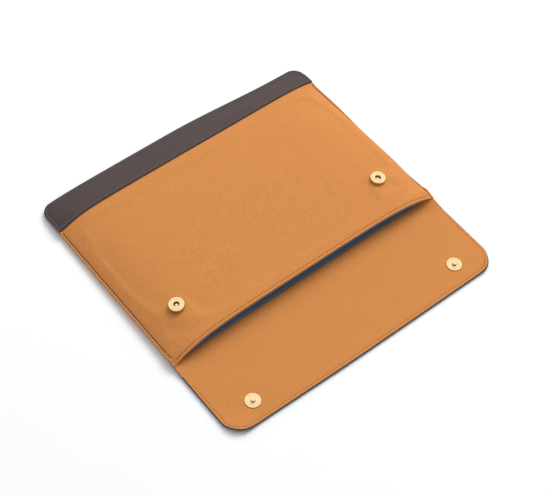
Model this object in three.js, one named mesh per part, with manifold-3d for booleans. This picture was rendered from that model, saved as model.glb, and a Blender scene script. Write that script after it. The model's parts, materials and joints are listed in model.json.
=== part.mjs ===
// Laptop sleeve: an envelope of padded fabric with a leather base strip and a folding flap, shown lying
// on its back with the flap opened flat. Millimetres, +Z up.
// The sleeve is drawn with the flap's lower fold on y = 0, the pocket towards +Y and the flap towards -Y,
// and is then moved so that the origin is the centre of its footprint.
import * as THREE from 'three';
import { mergeVertices } from 'three/addons/utils/BufferGeometryUtils.js';
import Module from 'manifold-3d';

const wasm = await Module();
wasm.setup();

// Overall size
const WIDTH = 350;
const POCKET_LENGTH = 247;
const FLAP_LENGTH = 97;
const HALF = WIDTH / 2;

// Layers
const GAP = 0.3;
const SKIN = 1.1;
const PADDING = 1.6;
const LINING = 0.6;
const STIFFENER = 0.5;

// Side and end seams
const FLANGE = 3;
const SEAM_X = HALF - FLANGE;
const SEAM_Y = POCKET_LENGTH - FLANGE;
const BASE_CORNER_RADIUS = 13;
const SEAM_THICKNESS = 2 * SKIN + GAP;

// Shape of the filled pocket
const MOUTH_TOP = 21;
const BASE_TOP = 8.4;
const BULGE_LENGTH_POWER = 5.5;
const BULGE_WIDTH_POWER = 7;
const SIDE_LIFT_AT_BASE = 1.9;
const SIDE_LIFT_GAIN = 3;
const BASE_LIFT = 4;
const FLAT_SHARE = 0.86;
const MOUTH_SIDE_Y = 2;
const MOUTH_SETBACK = 5;

// Base strip
const STRIP_EDGE_Y = 209.3;
const SEAM_ALLOWANCE = 10;
const PANEL_END_Y = STRIP_EDGE_Y + SEAM_ALLOWANCE;
const PANEL_LINING_END_Y = 227;

// Flap and fold
const SPINE = 23;
const FOLD_CLEARANCE = 0.5;
const FOLD_EASE = 14;
const FLAP_CORNER_RADIUS = 22;
const COVER_LAP = 13;
const FACING_DEPTH = 7.5;
const FLAP_THICKNESS = 2 * SKIN + STIFFENER + 2 * GAP;
const STIFFENER_INSET = 8;

// Snaps
const SNAP_X = 135;
const SOCKET_Y = 51.8;
const STUD_Y = -(SOCKET_Y + SPINE);
const SNAP_RADIUS = 8.4;
const SOCKET_HEIGHT = 3.4;
const HOLE_RADIUS = 3;
const POST_RADIUS = 2.1;
const SOCKET_REST = 0.45;
const CAP_WALL = 0.7;
const POST_HEIGHT = 2;
const STUD_THICKNESS = 1.1;
const RIVET_RADIUS = 1.4;
const RIVET_HEAD_RADIUS = 2.2;
const RIVET_HEAD_HEIGHT = 1.2;
const RIVET_FOOT = 0.4;
const CAP_CHAMFER = 0.8;
const STUD_CHAMFER = 0.5;
const STUD_GROOVE_DEPTH = 0.25;
const STUD_GROOVE_SHARE = 0.7;
const WASHER_RADIUS = 7;
const WASHER_THICKNESS = 0.5;
const WASHER_DEPTH = 0.75;
const DRILL_LENGTH = 12;
const ROUND_SEGMENTS = 28;
const SMALL_SEGMENTS = 16;

// Thread
const THREAD = 0.6;
const THREAD_REST = 0.8;
const STITCH_INSET = 4;
const SIDE_SEAM_START_Y = 14;
const FLAP_THREAD_START = 4;
const BASE_THREAD_START = 8;

// Padding and lining
const PADDING_REACH = 152;
const LINING_REACH = 162;
const HEM_DEPTH = 9;
const LINING_SETBACK = 0.8;
const FRONT_PADDING_END_Y = 201;
const BACK_PADDING_START_Y = 22;
const BACK_PADDING_END_Y = 190;

// Stretches along the pocket in which a layer steps over the edge of another one
const BAND_STEP = [14, 20];
const STRIP_STEP = [STRIP_EDGE_Y - 7, STRIP_EDGE_Y - 1];
const SEAM_STEP = [PANEL_END_Y, PANEL_LINING_END_Y];

// Columns of the layers' grids, from the middle to the outer edge, and the rows along the pocket
const SQUEEZE_FROM = 138;
const COLUMNS = [0, 80, 120, SQUEEZE_FROM, PADDING_REACH, LINING_REACH, 167, SEAM_X, HALF];
const ROWS = [10, 15, 22, 40, 110, 160, 190, 201, STRIP_EDGE_Y, PANEL_END_Y, PANEL_LINING_END_Y, 234];
const CORNER_STEPS = 5;

const finish = (color, roughness, metalness = 0) =>
  new THREE.MeshStandardMaterial({ color, roughness, metalness });
const tanFabric = () => finish(0xcf8b50, 0.95);
const darkLeather = () => finish(0x4a3b3a, 0.5);
const liningCloth = () => finish(0x4a5b68, 0.9);
const foam = () => finish(0x8d8f92, 1);
const board = () => finish(0x77706a, 0.8);
const brass = () => finish(0xd9bd83, 0.3, 1);
const magnet = () => finish(0x55565a, 0.4, 1);
const steel = () => finish(0x9b9da0, 0.4, 1);
const brownThread = () => finish(0x3a2418, 0.8);
const tanThread = () => finish(0xa8683a, 0.8);

// ---- Shape of the pocket ----

const smooth = (from, to, value) => THREE.MathUtils.smoothstep(value, from, to);
const acrossShare = (x) => Math.min(1, Math.abs(x) / SEAM_X);
const edgeRise = (share) => Math.max(0, (share - FLAT_SHARE) / (1 - FLAT_SHARE)) ** 2;

// Height of the underside at the side seams: it lies lower at the base and at the mouth.
function sideLift(y) {
  const along = SIDE_LIFT_AT_BASE + SIDE_LIFT_GAIN * (1 - y / POCKET_LENGTH);
  return along * smooth(-FOLD_EASE, FOLD_EASE, y);
}

// Half the width inside the edge at y, which narrows round the base corners.
function halfWidth(y) {
  const past = Math.max(0, y - (POCKET_LENGTH - BASE_CORNER_RADIUS));
  return HALF - BASE_CORNER_RADIUS + Math.sqrt(Math.max(0, BASE_CORNER_RADIUS ** 2 - past ** 2));
}

// How far the back panel is raised where it lies on the cover band and on the base strip
const lapRise = (y) =>
  (SKIN + GAP) * (1 - smooth(...BAND_STEP, y) + smooth(...STRIP_STEP, y) - smooth(...SEAM_STEP, y));

// Outer surface of the back: flat on the ground, rising to the seams at the sides and the base.
function underside(x, y) {
  const share = acrossShare(x);
  const side = sideLift(y) * edgeRise(share);
  const base = SIDE_LIFT_AT_BASE + BASE_LIFT * (1 - share ** BULGE_WIDTH_POWER);
  return THREE.MathUtils.lerp(side, base, edgeRise(Math.min(1, y / SEAM_Y)));
}

// Outer surface of the front: crowned across the width, highest at the mouth.
function topside(x, y) {
  const share = acrossShare(x) ** BULGE_WIDTH_POWER;
  const along = Math.min(1, Math.max(0, y / POCKET_LENGTH)) ** BULGE_LENGTH_POWER;
  const middle = THREE.MathUtils.lerp(MOUTH_TOP, BASE_TOP, along);
  return THREE.MathUtils.lerp(middle, sideLift(y) + SEAM_THICKNESS + lapRise(y), share);
}

// The front panel's mouth edge, set back in the middle.
const mouthY = (x) => MOUTH_SIDE_Y + MOUTH_SETBACK * (1 - acrossShare(x) ** 4);

// The padding thins out before it reaches the side seams.
const paddingShare = (x) => 1 - smooth(PADDING_REACH, LINING_REACH, Math.abs(x));

// Depth of the lining's outer face below a panel's outer face
const liningDepth = (x) => SKIN + GAP + (PADDING + GAP) * paddingShare(x);

// ---- Mesh building ----

function geometryFrom(positions, index) {
  const geometry = new THREE.BufferGeometry();
  geometry.setAttribute('position', new THREE.Float32BufferAttribute(positions, 3));
  geometry.setIndex(index);
  geometry.computeVertexNormals();
  return geometry;
}

// A closed slab over a grid: place(i, j) gives the [x, y, bottom, top] of each grid point.
function gridSlab(columnCount, rowCount, place) {
  const positions = [];
  const index = [];
  for (let j = 0; j < rowCount; j++) {
    for (let i = 0; i < columnCount; i++) {
      const [x, y, bottom, top] = place(i, j);
      positions.push(x, y, bottom, x, y, top);
    }
  }
  const low = (i, j) => 2 * (j * columnCount + i);
  const high = (i, j) => low(i, j) + 1;
  const quad = (a, b, c, d) => index.push(a, b, c, a, c, d);
  for (let j = 0; j + 1 < rowCount; j++) {
    for (let i = 0; i + 1 < columnCount; i++) {
      quad(high(i, j), high(i + 1, j), high(i + 1, j + 1), high(i, j + 1));
      quad(low(i, j), low(i, j + 1), low(i + 1, j + 1), low(i + 1, j));
    }
  }
  for (let i = 0; i + 1 < columnCount; i++) {
    const j = rowCount - 1;
    quad(low(i, 0), low(i + 1, 0), high(i + 1, 0), high(i, 0));
    quad(low(i + 1, j), low(i, j), high(i, j), high(i + 1, j));
  }
  for (let j = 0; j + 1 < rowCount; j++) {
    const i = columnCount - 1;
    quad(low(0, j + 1), low(0, j), high(0, j), high(0, j + 1));
    quad(low(i, j), low(i, j + 1), high(i, j + 1), high(i, j));
  }
  return geometryFrom(positions, index);
}

// The rows of a layer between two lines across the pocket, with extra rows round the base corners.
function rowsBetween(from, to) {
  const rows = ROWS.filter((y) => y > from + 1 && y < to - 1);
  if (to === POCKET_LENGTH) {
    for (let step = 0; step < CORNER_STEPS; step++) {
      const angle = (step / CORNER_STEPS) * (Math.PI / 2);
      rows.push(POCKET_LENGTH - BASE_CORNER_RADIUS * (1 - Math.sin(angle)));
    }
  }
  return [from, ...rows, to];
}

// One layer of the pocket. start(x) is its edge at the mouth end, and faces(x, y) gives [bottom, top].
function pocketLayer({ reach, start, end, faces }) {
  const right = COLUMNS.filter((x) => x <= reach);
  const columns = [...right.slice(1).reverse().map((x) => -x), ...right];
  const rows = rowsBetween(Math.max(start(0), start(HALF)), end);
  return gridSlab(columns.length, rows.length, (i, j) => {
    const y = j === 0 ? start(columns[i]) : rows[j];
    const excess = Math.max(0, Math.abs(columns[i]) - SQUEEZE_FROM);
    const squeeze = (halfWidth(y) - SQUEEZE_FROM) / (HALF - SQUEEZE_FROM);
    const x = Math.sign(columns[i]) * (Math.abs(columns[i]) - excess + excess * squeeze);
    return [x, y, ...faces(x, y)];
  });
}

function solidOf(geometry) {
  const plain = geometry.clone();
  plain.deleteAttribute('normal');
  plain.deleteAttribute('uv');
  const merged = mergeVertices(plain, 1e-4);
  const triVerts = new Uint32Array(merged.index.array);
  const vertProperties = new Float32Array(merged.attributes.position.array);
  return new wasm.Manifold(new wasm.Mesh({ numProp: 3, vertProperties, triVerts }));
}

function geometryOf(solid) {
  const mesh = solid.getMesh();
  return geometryFrom(Array.from(mesh.vertProperties), Array.from(mesh.triVerts));
}

function withHoles(geometry, holes) {
  let solid = solidOf(geometry);
  for (const hole of holes) solid = solid.subtract(solidOf(hole));
  return geometryOf(solid);
}

// A flat sheet with straight sides: rounded free corners, if any, are at the y = near end.
function flatSheet(near, far, bottom, thickness, cornerRadius, inset = 0) {
  const side = HALF - inset;
  const shape = new THREE.Shape();
  shape.moveTo(side, far);
  shape.lineTo(-side, far);
  if (cornerRadius > 0) {
    shape.absarc(-side + cornerRadius, near + cornerRadius, cornerRadius, Math.PI, 1.5 * Math.PI);
    shape.absarc(side - cornerRadius, near + cornerRadius, cornerRadius, 1.5 * Math.PI, 2 * Math.PI);
  } else {
    shape.lineTo(-side, near);
    shape.lineTo(side, near);
  }
  shape.closePath();
  const options = { depth: thickness, bevelEnabled: false, curveSegments: 8 };
  return new THREE.ExtrudeGeometry(shape, options).translate(0, 0, bottom);
}

// A thread laid along points, with a square section.
function threadAlong(points) {
  const half = THREAD / 2;
  const corners = [[-half, -half], [half, -half], [half, half], [-half, half]];
  const section = new THREE.Shape(corners.map(([u, v]) => new THREE.Vector2(u, v)));
  const extrudePath = new THREE.CatmullRomCurve3(points, false, 'centripetal');
  return new THREE.ExtrudeGeometry(section, { steps: points.length * 2, extrudePath });
}

function lathe(profile, segments = 24) {
  const points = profile.map(([r, z]) => new THREE.Vector2(r, z));
  return new THREE.LatheGeometry(points, segments).rotateX(Math.PI / 2);
}

// ---- Sleeve ----

const sleeve = new THREE.Group();
sleeve.name = 'laptop_sleeve';
sleeve.position.y = -(POCKET_LENGTH - FLAP_LENGTH) / 2;

function add(name, geometry, material, parent = sleeve) {
  const mesh = new THREE.Mesh(geometry, material);
  mesh.name = name;
  parent.add(mesh);
  return mesh;
}

// ---- Frame of each snap ----

// A group whose z = 0 plane touches the panel's outer face at the snap.
function socketFrame(side) {
  const x = side * SNAP_X;
  const step = 1;
  const slopeX = (topside(x + step, SOCKET_Y) - topside(x - step, SOCKET_Y)) / (2 * step);
  const slopeY = (topside(x, SOCKET_Y + step) - topside(x, SOCKET_Y - step)) / (2 * step);
  const group = new THREE.Group();
  group.position.set(x, SOCKET_Y, topside(x, SOCKET_Y));
  const normal = new THREE.Vector3(-slopeX, -slopeY, 1).normalize();
  group.quaternion.setFromUnitVectors(new THREE.Vector3(0, 0, 1), normal);
  return group;
}

const socketFrames = { left: socketFrame(-1), right: socketFrame(1) };

// An upright drill of the given radius.
function drill(radius) {
  return new THREE.CylinderGeometry(radius, radius, DRILL_LENGTH, SMALL_SEGMENTS).rotateX(Math.PI / 2);
}

// A drill of the given radius through a layer at each socket.
function socketDrills(radius) {
  return Object.values(socketFrames).map((frame) => {
    frame.updateMatrix();
    return drill(radius).applyMatrix4(frame.matrix);
  });
}

// A drill of the given radius through the flap at each stud.
function studDrills(radius) {
  return [-SNAP_X, SNAP_X].map((x) => drill(radius).translate(x, STUD_Y, 0));
}

// ---- Pocket layers ----

function addFrontLayers() {
  const panel = pocketLayer({
    reach: HALF,
    start: mouthY,
    end: PANEL_END_Y,
    faces: (x, y) => [topside(x, y) - SKIN, topside(x, y)],
  });
  add('front_panel', withHoles(panel, socketDrills(RIVET_RADIUS + GAP)), tanFabric());

  const paddingTop = SKIN + GAP;
  const padding = pocketLayer({
    reach: PADDING_REACH,
    start: (x) => mouthY(x) + HEM_DEPTH,
    end: FRONT_PADDING_END_Y,
    faces: (x, y) => [topside(x, y) - paddingTop - PADDING, topside(x, y) - paddingTop],
  });
  add('front_padding', withHoles(padding, socketDrills(WASHER_RADIUS + 2)), foam());

  const lining = pocketLayer({
    reach: LINING_REACH,
    start: (x) => mouthY(x) + LINING_SETBACK,
    end: PANEL_LINING_END_Y,
    faces: (x, y) => {
      const top = topside(x, y) - liningDepth(x);
      return [top - LINING, top];
    },
  });
  add('front_lining', lining, liningCloth());
}

// The front strip steps down to the seam once it is past the fabric that it covers.
const stripTop = (x, y) => topside(x, y) + (SKIN + GAP) * (1 - smooth(...SEAM_STEP, y));

function addBaseStrips() {
  const front = pocketLayer({
    reach: HALF,
    start: () => STRIP_EDGE_Y,
    end: POCKET_LENGTH,
    faces: (x, y) => [stripTop(x, y) - SKIN, stripTop(x, y)],
  });
  add('base_strip_front', front, darkLeather());

  const back = pocketLayer({
    reach: HALF,
    start: () => STRIP_EDGE_Y,
    end: POCKET_LENGTH,
    faces: (x, y) => [underside(x, y), underside(x, y) + SKIN],
  });
  add('base_strip_back', back, darkLeather());
}

function addBackLayers() {
  const panel = pocketLayer({
    reach: HALF,
    start: () => FACING_DEPTH + GAP,
    end: PANEL_END_Y,
    faces: (x, y) => {
      const bottom = underside(x, y) + lapRise(y);
      return [bottom, bottom + SKIN];
    },
  });
  add('back_panel', panel, tanFabric());

  const padding = pocketLayer({
    reach: PADDING_REACH,
    start: () => BACK_PADDING_START_Y,
    end: BACK_PADDING_END_Y,
    faces: (x, y) => {
      const bottom = underside(x, y) + SKIN + GAP;
      return [bottom, bottom + PADDING];
    },
  });
  add('back_padding', padding, foam());

  const lining = pocketLayer({
    reach: LINING_REACH,
    start: () => FACING_DEPTH + GAP,
    end: PANEL_END_Y,
    faces: (x, y) => {
      const bottom = underside(x, y) + Math.max(liningDepth(x), lapRise(y) + SKIN + GAP);
      return [bottom, bottom + LINING];
    },
  });
  add('back_lining', lining, liningCloth());
}

// The part of the flap's two skins that is sewn to the pocket, before the lower fold: they lie
// as far apart as in the flap, and meet in the side seams.
function addMouthSkins() {
  const skin = (end, rise) => pocketLayer({
    reach: HALF,
    start: () => FOLD_CLEARANCE,
    end,
    faces: (x, y) => [underside(x, y) + rise(x), underside(x, y) + rise(x) + SKIN],
  });
  const facingRise = (x) =>
    THREE.MathUtils.lerp(FLAP_THICKNESS - SKIN, SKIN + GAP, edgeRise(acrossShare(x)));
  add('back_cover_band', skin(COVER_LAP, () => 0), darkLeather());
  add('mouth_facing', skin(FACING_DEPTH, facingRise), tanFabric());
}

// ---- Fold and flap ----

function addSpine() {
  const near = -SPINE + FOLD_CLEARANCE;
  const far = -FOLD_CLEARANCE;
  add('spine_cover', flatSheet(near, far, 0, SKIN, 0), darkLeather());
  add('spine_facing', flatSheet(near, far, FLAP_THICKNESS - SKIN, SKIN, 0), tanFabric());
}

function addFlap() {
  const far = -SPINE - FOLD_CLEARANCE;
  const skin = (bottom) => flatSheet(-FLAP_LENGTH, far, bottom, SKIN, FLAP_CORNER_RADIUS);
  add('flap_cover', skin(0), darkLeather());
  const facing = withHoles(skin(FLAP_THICKNESS - SKIN), studDrills(RIVET_RADIUS + GAP));
  add('flap_facing', facing, tanFabric());

  const sheet = flatSheet(
    -FLAP_LENGTH + STIFFENER_INSET, far - STIFFENER_INSET / 2, SKIN + GAP, STIFFENER,
    FLAP_CORNER_RADIUS - STIFFENER_INSET, STIFFENER_INSET);
  add('flap_stiffener', withHoles(sheet, studDrills(WASHER_RADIUS + 1)), board());
}

// ---- Snaps ----

function capProfile() {
  const top = SOCKET_REST + SOCKET_HEIGHT;
  const under = top - CAP_WALL;
  const tube = HOLE_RADIUS + CAP_WALL;
  const wall = SNAP_RADIUS - CAP_WALL;
  return [
    [HOLE_RADIUS, SOCKET_REST], [tube, SOCKET_REST], [tube, under], [wall, under], [wall, SOCKET_REST],
    [SNAP_RADIUS, SOCKET_REST], [SNAP_RADIUS, top - CAP_CHAMFER], [SNAP_RADIUS - CAP_CHAMFER, top],
    [HOLE_RADIUS, top], [HOLE_RADIUS, SOCKET_REST],
  ];
}

function ringProfile(inner, outer, bottom, top) {
  return [[inner, bottom], [outer, bottom], [outer, top], [inner, top], [inner, bottom]];
}

function rivetProfile() {
  const foot = -(SKIN + WASHER_DEPTH + WASHER_THICKNESS + RIVET_FOOT);
  const head = SOCKET_REST + RIVET_HEAD_HEIGHT;
  return [
    [0, foot], [RIVET_RADIUS, foot], [RIVET_RADIUS, SOCKET_REST], [RIVET_HEAD_RADIUS, SOCKET_REST],
    [RIVET_HEAD_RADIUS, head - RIVET_HEAD_HEIGHT / 2], [RIVET_RADIUS, head - RIVET_HEAD_HEIGHT / 8],
    [0, head],
  ];
}

function addSocket(side, frame) {
  sleeve.add(frame);
  const magnetTop = SOCKET_REST + SOCKET_HEIGHT - CAP_WALL - GAP;
  const magnetInner = HOLE_RADIUS + CAP_WALL + GAP;
  const magnetOuter = SNAP_RADIUS - CAP_WALL - GAP;
  const washerTop = -SKIN - WASHER_DEPTH;
  const washer = ringProfile(RIVET_RADIUS + GAP, WASHER_RADIUS, washerTop - WASHER_THICKNESS, washerTop);
  const ring = ringProfile(magnetInner, magnetOuter, SOCKET_REST, magnetTop);
  add(`socket_cap_${side}`, lathe(capProfile(), ROUND_SEGMENTS), brass(), frame);
  add(`socket_magnet_${side}`, lathe(ring), magnet(), frame);
  add(`socket_rivet_${side}`, lathe(rivetProfile(), SMALL_SEGMENTS), brass(), frame);
  add(`socket_washer_${side}`, lathe(washer, SMALL_SEGMENTS), steel(), frame);
}

// The stud's disc lies on the facing. Its post stands up, and its shank runs down through the facing.
function studProfile() {
  const disc = FLAP_THICKNESS + GAP;
  const face = disc + STUD_THICKNESS;
  const tip = face + POST_HEIGHT;
  const groove = STUD_GROOVE_SHARE * SNAP_RADIUS;
  const chamfer = STUD_CHAMFER;
  return [
    [0, SKIN + GAP], [RIVET_RADIUS, SKIN + GAP], [RIVET_RADIUS, disc], [SNAP_RADIUS, disc],
    [SNAP_RADIUS, face - chamfer], [SNAP_RADIUS - chamfer, face],
    [groove + chamfer, face], [groove, face - STUD_GROOVE_DEPTH], [groove - chamfer, face],
    [POST_RADIUS, face], [POST_RADIUS, tip - chamfer], [POST_RADIUS - chamfer, tip], [0, tip],
  ];
}

function addStud(side, x) {
  const frame = new THREE.Group();
  frame.position.set(x, STUD_Y, 0);
  sleeve.add(frame);
  const bottom = SKIN + GAP;
  const washer = ringProfile(RIVET_RADIUS + GAP, WASHER_RADIUS, bottom, bottom + WASHER_THICKNESS);
  add(`stud_${side}`, lathe(studProfile(), ROUND_SEGMENTS), brass(), frame);
  add(`stud_washer_${side}`, lathe(washer, SMALL_SEGMENTS), steel(), frame);
}

// ---- Stitching ----

// Points spaced along a straight or curved run
function run(count, pointAt) {
  return Array.from({ length: count + 1 }, (_, step) => pointAt(step / count));
}

function addSideSeams() {
  for (const [side, sign] of [['left', -1], ['right', 1]]) {
    const x = sign * (SEAM_X + 0.5);
    const points = run(8, (share) => {
      const y = THREE.MathUtils.lerp(SIDE_SEAM_START_Y, STRIP_EDGE_Y - STITCH_INSET, share);
      return new THREE.Vector3(x, y, topside(x, y) + THREAD_REST);
    });
    add(`side_seam_thread_${side}`, threadAlong(points), brownThread());
  }
}

function addMouthHem() {
  const points = run(20, (share) => {
    const x = THREE.MathUtils.lerp(-LINING_REACH, LINING_REACH, share);
    const y = mouthY(x) + STITCH_INSET;
    return new THREE.Vector3(x, y, topside(x, y) + THREAD_REST);
  });
  add('mouth_hem_thread', threadAlong(points), tanThread());
}

function addBorderThread() {
  const reach = SEAM_X - STITCH_INSET;
  const points = run(20, (share) => {
    const x = THREE.MathUtils.lerp(-reach, reach, share);
    const y = STRIP_EDGE_Y + STITCH_INSET;
    return new THREE.Vector3(x, y, stripTop(x, y) + THREAD_REST);
  });
  add('base_border_thread', threadAlong(points), brownThread());
}

// A U-shaped run inside an edge: up one side, round both corners and down the other side.
function edgeRun(startY, endY, radius, heightAt) {
  const side = HALF - STITCH_INSET;
  const bend = radius - STITCH_INSET;
  const turn = Math.sign(endY - startY);
  const cornerY = endY - turn * (STITCH_INSET + bend);
  const corner = (sign, from, to) => run(5, (share) => {
    const angle = THREE.MathUtils.lerp(from, to, share);
    return [sign * (side - bend + bend * Math.cos(angle)), cornerY + turn * bend * Math.sin(angle)];
  });
  const flat = [
    [-side, startY],
    ...corner(-1, 0, Math.PI / 2),
    ...run(10, (share) => [(2 * share - 1) * (side - bend), endY - turn * STITCH_INSET]).slice(1, -1),
    ...corner(1, Math.PI / 2, 0),
    [side, startY],
  ];
  return flat.map(([x, y]) => new THREE.Vector3(x, y, heightAt(x, y) + THREAD_REST));
}

function addEdgeThreads() {
  const base = edgeRun(STRIP_EDGE_Y + BASE_THREAD_START, POCKET_LENGTH, BASE_CORNER_RADIUS, stripTop);
  add('base_edge_thread', threadAlong(base), brownThread());
  const flap = edgeRun(-SPINE - FLAP_THREAD_START, -FLAP_LENGTH, FLAP_CORNER_RADIUS, () => FLAP_THICKNESS);
  add('flap_edge_thread', threadAlong(flap), tanThread());
}

addFrontLayers();
addBackLayers();
addBaseStrips();
addMouthSkins();
addSpine();
addFlap();
addSocket('left', socketFrames.left);
addSocket('right', socketFrames.right);
addStud('left', -SNAP_X);
addStud('right', SNAP_X);
addSideSeams();
addMouthHem();
addBorderThread();
addEdgeThreads();

export default sleeve;
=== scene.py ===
import json
import math
import random

import bmesh
import bpy
import numpy as np
from mathutils import Matrix, Vector


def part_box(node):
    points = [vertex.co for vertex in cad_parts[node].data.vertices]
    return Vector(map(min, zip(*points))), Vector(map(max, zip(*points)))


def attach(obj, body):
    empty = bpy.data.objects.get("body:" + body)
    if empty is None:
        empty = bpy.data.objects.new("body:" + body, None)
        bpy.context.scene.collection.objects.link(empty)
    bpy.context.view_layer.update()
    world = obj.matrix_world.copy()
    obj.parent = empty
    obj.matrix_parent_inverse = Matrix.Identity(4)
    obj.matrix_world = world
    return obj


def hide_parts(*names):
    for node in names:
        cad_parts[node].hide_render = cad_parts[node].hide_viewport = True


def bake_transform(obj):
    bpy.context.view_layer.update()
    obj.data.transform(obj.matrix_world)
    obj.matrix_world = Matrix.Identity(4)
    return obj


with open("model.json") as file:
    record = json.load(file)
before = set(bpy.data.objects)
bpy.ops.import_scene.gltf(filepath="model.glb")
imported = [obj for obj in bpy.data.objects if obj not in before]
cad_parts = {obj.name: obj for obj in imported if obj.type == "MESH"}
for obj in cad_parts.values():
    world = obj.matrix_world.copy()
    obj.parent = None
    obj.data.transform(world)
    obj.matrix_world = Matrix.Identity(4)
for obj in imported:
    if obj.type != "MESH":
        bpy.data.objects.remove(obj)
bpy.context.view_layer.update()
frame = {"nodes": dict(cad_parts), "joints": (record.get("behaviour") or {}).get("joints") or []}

# Everything below is worked out in millimetres, in pocket coordinates: y = 0 is the lower fold, the pocket
# is towards +Y and the flap towards -Y. place() turns them into metres in the row frame.
MM = 0.001
random.seed(7)
joints = {joint["name"]: joint for joint in frame["joints"]}
FOLD_Y = joints["lower_fold"]["pos_m"][1] / MM
UPPER_FOLD = joints["upper_fold"]["pos_m"][1] / MM - FOLD_Y


def node_box(node):
    """The node's lowest and highest corner in pocket coordinates, in millimetres."""
    low, high = (np.array(corner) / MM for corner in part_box(node))
    low[1] -= FOLD_Y
    high[1] -= FOLD_Y
    return low, high


def centre_of(node):
    low, high = node_box(node)
    return (low + high) / 2


# Sizes taken from the frame
HALF = node_box("base_strip_front")[1][0]
POCKET_LENGTH = node_box("base_strip_front")[1][1]
STRIP_EDGE = node_box("base_strip_front")[0][1]
PANEL_END = node_box("front_panel")[1][1]
MOUTH_TOP = node_box("front_panel")[1][2]
FLAP_END = node_box("flap_cover")[0][1]
SKIN = node_box("flap_cover")[1][2]
FLAP_TOP = node_box("flap_facing")[1][2]
COVER_LAP = node_box("back_cover_band")[1][1]
FACING_DEPTH = node_box("mouth_facing")[1][1]
SEAM_THREAD = centre_of("side_seam_thread_right")[0]
THREAD_OUTSET = 0.5
SEAM_X = SEAM_THREAD - THREAD_OUTSET
SEAM_Y = POCKET_LENGTH - (HALF - SEAM_X)
STUD_EDGE = node_box("stud_left")[0][1]
SNAP_RADIUS = (node_box("stud_left")[1][0] - node_box("stud_left")[0][0]) / 2

# Layers and corners, as the CAD part has them
GAP = 0.3
PADDING = 1.6
LINING = 0.6
PADDING_HALF = 152
LINING_HALF = 162
LINING_END = 227
BASE_CORNER = 13
FLAP_CORNER = 22
SPINE_MIDDLE = UPPER_FOLD / 2

# How far in from the edge the stitches and the flap's facing lie
HEM_INSET = 3.5
STITCH_INSET = 3
FACING_INSET = 0.3

# Shape of the filled pocket. A pair of numbers is where a change starts and where it ends.
ACROSS_POWER = 7
LENGTH_POWER = 5.5
MOUTH_POWER = 4
MOUTH_SIDE_Y = 2
MOUTH_SETBACK = 5
BASE_TOP = 8.4
SEAM_LOW = 1.9
SEAM_RISE = 3
BASE_RISE = 4
EDGE_RISE_START = 0.86
FOLD_EASE = 14
LAP_EASE = (1, 7)
STRIP_DROP_END = POCKET_LENGTH - 6

# How the sleeve lies unevenly: its right seam is lifted, and its base is flatter and drawn in at the right
RIGHT_LIFT = 4.5
RIGHT_LIFT_X = 60
RIGHT_LIFT_Y = (60, 230)
BASE_SLUMP = 4.0
BASE_SLUMP_X = (-10, 140)
BASE_SLUMP_Y = 150
BASE_PULL = 7.0
BORDER_PUSH = 2.2
BORDER_PUSH_Y = 140
LEFT_SAG = 2.0
LEFT_SAG_X = 135
BASE_TUCK = 0.5
MOUTH_TUCK = 2.0
MOUTH_TUCK_START = (-FOLD_EASE, 10)
MOUTH_TUCK_END = (15, 70)
TUCK_FROM = 120
FLAP_SPREAD = 3.2
LEFT_SPREAD_SHARE = 0.3
FLANGE_TURN = 1.15
FLANGE_TURN_START = (0, 60)
FLANGE_TURN_END = (100, 190)
FLANGE_BEND = (SEAM_X - 4, SEAM_X + 1)
FLANGE_PIVOT = 1.5
FLANGE_LAYERS = (-2, 4)
LEFT_CURL = 3.2
RIGHT_CURL = 1.4
CURL_X = 138
CURL_Y = 70


# ---- Shape of the pocket ----

def smooth(start, end, value):
    """0 before start, 1 after end, and an S-curve between them."""
    t = np.clip((value - start) / (end - start), 0, 1)
    return t * t * (3 - 2 * t)


def lerp(a, b, t):
    return a + (b - a) * t


def across(x):
    """0 in the middle and 1 from the side seams outwards."""
    return np.minimum(1, np.abs(x) / SEAM_X)


def edge_rise(share):
    """0 over the middle, rising to 1 at the very edge."""
    return np.maximum(0, (share - EDGE_RISE_START) / (1 - EDGE_RISE_START)) ** 2


def side_lift(x, y):
    """Height of the side seams above the ground; the right one lies higher towards the mouth."""
    even = SEAM_LOW + SEAM_RISE * (1 - y / POCKET_LENGTH)
    lifted = RIGHT_LIFT * smooth(RIGHT_LIFT_X, SEAM_X, x) * (1 - smooth(*RIGHT_LIFT_Y, y))
    return (even + lifted) * smooth(-FOLD_EASE, FOLD_EASE, y)


def lap_rise(y):
    """How far the back panel is raised where it lies on the cover and on the base strip."""
    near, far = LAP_EASE
    at_strip = smooth(STRIP_EDGE - far, STRIP_EDGE - near, y) - smooth(PANEL_END, STRIP_DROP_END, y)
    return (SKIN + GAP) * (1 - smooth(COVER_LAP + near, COVER_LAP + far, y) + at_strip)


def slump(x, y):
    """The base end lies a little flatter at its right half."""
    share = smooth(*BASE_SLUMP_X, x) * smooth(BASE_SLUMP_Y, POCKET_LENGTH, y)
    return BASE_SLUMP * share * (1 - across(x) ** ACROSS_POWER)


def underside(x, y):
    """Outer surface of the back, the fold and the flap."""
    share = across(x)
    side = side_lift(x, y) * edge_rise(share)
    base = SEAM_LOW + BASE_RISE * (1 - share**ACROSS_POWER) - slump(x, POCKET_LENGTH)
    return lerp(side, base, edge_rise(np.minimum(1, y / SEAM_Y)))


def topside(x, y):
    """Outer surface of the front panel."""
    share = across(x) ** ACROSS_POWER
    middle = lerp(MOUTH_TOP, BASE_TOP, np.clip(y / POCKET_LENGTH, 0, 1) ** LENGTH_POWER)
    return lerp(middle, side_lift(x, y) + 2 * SKIN + GAP + lap_rise(y), share) - slump(x, y)


def mouth_y(x):
    """Where the mouth's edge lies, which is further in at the middle than at the sides."""
    return MOUTH_SIDE_Y + MOUTH_SETBACK * (1 - across(x) ** MOUTH_POWER)


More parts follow.
